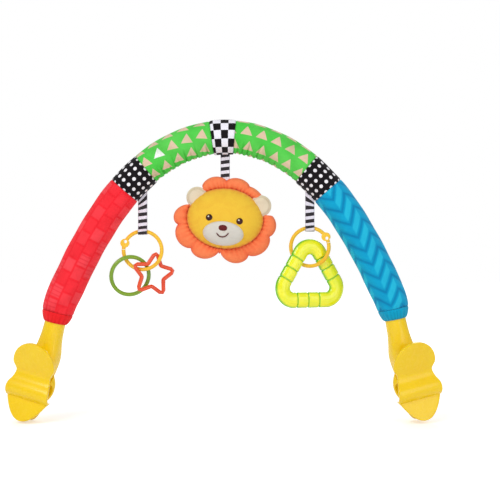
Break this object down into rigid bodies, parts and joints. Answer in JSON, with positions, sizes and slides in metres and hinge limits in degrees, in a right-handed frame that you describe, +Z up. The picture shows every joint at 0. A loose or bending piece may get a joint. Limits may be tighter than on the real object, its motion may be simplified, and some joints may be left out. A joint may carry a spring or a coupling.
{
  "type": "stroller activity arch",
  "caption": "Padded bendable arch on two spring clips that hangs toys above a child in a stroller: lion, rings, star and teether.",
  "frame": {"origin": "midway between the grips of the two clips, on the line of the bar or rim that they hold", "axes": "+X from the left clip to the right clip as the viewer sees them, +Y from the viewer to the back, +Z up to the top of the arch"},
  "size_m": [0.4962, 0.06, 0.3439],
  "materials": {
    "blue_cuff": "brushed knit",
    "blue_sleeve": "brushed knit",
    "checkered_sleeve": "brushed knit",
    "core_rod": "satin",
    "foam_padding": "open foam",
    "green_ring": "moulded, semi-gloss",
    "left_clip_lever": "moulded, semi-gloss",
    "left_clip_pin": "zinc-plated steel",
    "left_clip_plain_shell": "moulded, semi-gloss",
    "left_clip_screw_1": "zinc-plated steel",
    "left_clip_screw_2": "zinc-plated steel",
    "left_clip_screw_3": "zinc-plated steel",
    "left_clip_screw_4": "zinc-plated steel",
    "left_clip_screwed_shell": "moulded, semi-gloss",
    "left_clip_spring": "spring steel",
    "left_dotted_sleeve": "brushed knit",
    "left_green_sleeve": "brushed knit",
    "left_link_ring": "moulded, semi-gloss",
    "left_ribbon": "woven grosgrain",
    "left_swivel_spigot": "satin",
    "lion_back": "short plush",
    "lion_face": "short plush",
    "lion_left_ear": "short plush",
    "lion_left_eye": "embroidered, glossy thread",
    "lion_mane": "short plush",
    "lion_muzzle": "short plush",
    "lion_nose": "satin-stitch embroidery",
    "lion_ribbon": "woven grosgrain",
    "lion_right_ear": "short plush",
    "lion_right_eye": "embroidered, glossy thread",
    "orange_star": "moulded, semi-gloss",
    "red_cuff": "brushed knit",
    "red_sleeve": "brushed knit",
    "right_clip_lever": "moulded, semi-gloss",
    "right_clip_pin": "zinc-plated steel",
    "right_clip_plain_shell": "moulded, semi-gloss",
    "right_clip_screw_1": "zinc-plated steel",
    "right_clip_screw_2": "zinc-plated steel",
    "right_clip_screw_3": "zinc-plated steel",
    "right_clip_screw_4": "zinc-plated steel",
    "right_clip_screwed_shell": "moulded, semi-gloss",
    "right_clip_spring": "spring steel",
    "right_dotted_sleeve": "brushed knit",
    "right_green_sleeve": "brushed knit",
    "right_link_ring": "moulded, semi-gloss",
    "right_ribbon": "woven grosgrain",
    "right_swivel_spigot": "satin",
    "teether": "soft translucent plastic"
  },
  "bodies": {
    "arch": {"core_rod": "core_rod", "foam_padding": "foam_padding", "red_cuff": "red_cuff", "red_sleeve": "red_sleeve", "left_dotted_sleeve": "left_dotted_sleeve", "left_green_sleeve": "left_green_sleeve", "checkered_sleeve": "checkered_sleeve", "right_green_sleeve": "right_green_sleeve", "right_dotted_sleeve": "right_dotted_sleeve", "blue_sleeve": "blue_sleeve", "blue_cuff": "blue_cuff", "left_swivel_spigot": "left_swivel_spigot", "right_swivel_spigot": "right_swivel_spigot"},
    "left_clip": {"left_clip_pin": "left_clip_pin", "left_clip_plain_shell": "left_clip_plain_shell", "left_clip_screw_1": "left_clip_screw_1", "left_clip_screw_2": "left_clip_screw_2", "left_clip_screw_3": "left_clip_screw_3", "left_clip_screw_4": "left_clip_screw_4", "left_clip_screwed_shell": "left_clip_screwed_shell", "left_clip_spring": "left_clip_spring"},
    "right_clip": {"right_clip_pin": "right_clip_pin", "right_clip_plain_shell": "right_clip_plain_shell", "right_clip_screw_1": "right_clip_screw_1", "right_clip_screw_2": "right_clip_screw_2", "right_clip_screw_3": "right_clip_screw_3", "right_clip_screw_4": "right_clip_screw_4", "right_clip_screwed_shell": "right_clip_screwed_shell", "right_clip_spring": "right_clip_spring"},
    "left_lever": {"left_clip_lever": "left_clip_lever"},
    "right_lever": {"right_clip_lever": "right_clip_lever"},
    "left_ribbon": {"left_ribbon": "left_ribbon"},
    "right_ribbon": {"right_ribbon": "right_ribbon"},
    "lion_ribbon": {"lion_ribbon": "lion_ribbon"},
    "left_link": {"left_link_ring": "left_link_ring"},
    "right_link": {"right_link_ring": "right_link_ring"},
    "green_ring": {"green_ring": "green_ring"},
    "star": {"orange_star": "orange_star"},
    "teether": {"teether": "teether"},
    "lion": {"lion_back": "lion_back", "lion_face": "lion_face", "lion_left_ear": "lion_left_ear", "lion_left_eye": "lion_left_eye", "lion_mane": "lion_mane", "lion_muzzle": "lion_muzzle", "lion_nose": "lion_nose", "lion_right_ear": "lion_right_ear", "lion_right_eye": "lion_right_eye"}
  },
  "joints": [
    {"name": "left_clip_swivel", "type": "hinge", "parent": "arch", "child": "left_clip", "pos_m": [-0.19664, 0.012, 0.07568], "axis": [0.2419, 0, 0.9703], "range_deg": [-71, 109]},
    {"name": "left_clip_jaw", "type": "hinge", "parent": "left_clip", "child": "left_lever", "pos_m": [-0.21324, 0.00396, 0.02056], "axis": [-0.9174, 0.3256, 0.2287], "range_deg": [0, 22], "stiffness_Nm_per_rad": 0.6, "springref_deg": -40.11, "deforming": ["left_clip_spring"]},
    {"name": "right_clip_swivel", "type": "hinge", "parent": "arch", "child": "right_clip", "pos_m": [0.19469, 0.012, 0.07772], "axis": [-0.2045, 0, 0.9789], "range_deg": [-109, 71]},
    {"name": "right_clip_jaw", "type": "hinge", "parent": "right_clip", "child": "right_lever", "pos_m": [0.20916, 0.00396, 0.022], "axis": [-0.9255, -0.3256, -0.1934], "range_deg": [0, 22], "stiffness_Nm_per_rad": 0.6, "springref_deg": -40.11, "deforming": ["right_clip_spring"]},
    {"name": "left_ribbon_swing", "type": "hinge", "parent": "arch", "child": "left_ribbon", "pos_m": [-0.0961, 0.012, 0.21952], "axis": [0.6795, 0, 0.7337], "range_deg": [-45, 45]},
    {"name": "left_link_swing", "type": "hinge", "parent": "left_ribbon", "child": "left_link", "pos_m": [-0.0961, 0.012, 0.18062], "axis": [1, 0, 0], "range_deg": [-45, 45]},
    {"name": "right_ribbon_swing", "type": "hinge", "parent": "arch", "child": "right_ribbon", "pos_m": [0.0961, 0.012, 0.21952], "axis": [0.6795, 0, -0.7337], "range_deg": [-45, 45]},
    {"name": "right_link_swing", "type": "hinge", "parent": "right_ribbon", "child": "right_link", "pos_m": [0.0961, 0.012, 0.18452], "axis": [1, 0, 0], "range_deg": [-45, 45]},
    {"name": "lion_ribbon_swing", "type": "hinge", "parent": "arch", "child": "lion_ribbon", "pos_m": [-0.00123, 0.012, 0.26803], "axis": [1, 0, 0], "range_deg": [-45, 45]},
    {"name": "lion_nod", "type": "hinge", "parent": "lion_ribbon", "child": "lion", "pos_m": [-0.00123, 0.012, 0.23863], "axis": [1, 0, 0], "range_deg": [-30, 30]},
    {"name": "green_ring_turn", "type": "hinge", "parent": "left_link", "child": "green_ring", "pos_m": [-0.0961, 0.012, 0.15862], "axis": [0.4448, 0, 0.8957], "range_deg": [0, 45]},
    {"name": "star_turn", "type": "hinge", "parent": "left_link", "child": "star", "pos_m": [-0.0843, 0.01414, 0.13082], "axis": [0, 0, 1], "range_deg": [0, 45]},
    {"name": "teether_turn", "type": "hinge", "parent": "right_link", "child": "teether", "pos_m": [0.0961, 0.012, 0.16252], "axis": [0, 0, 1], "range_deg": [0, 45]}
  ]
}
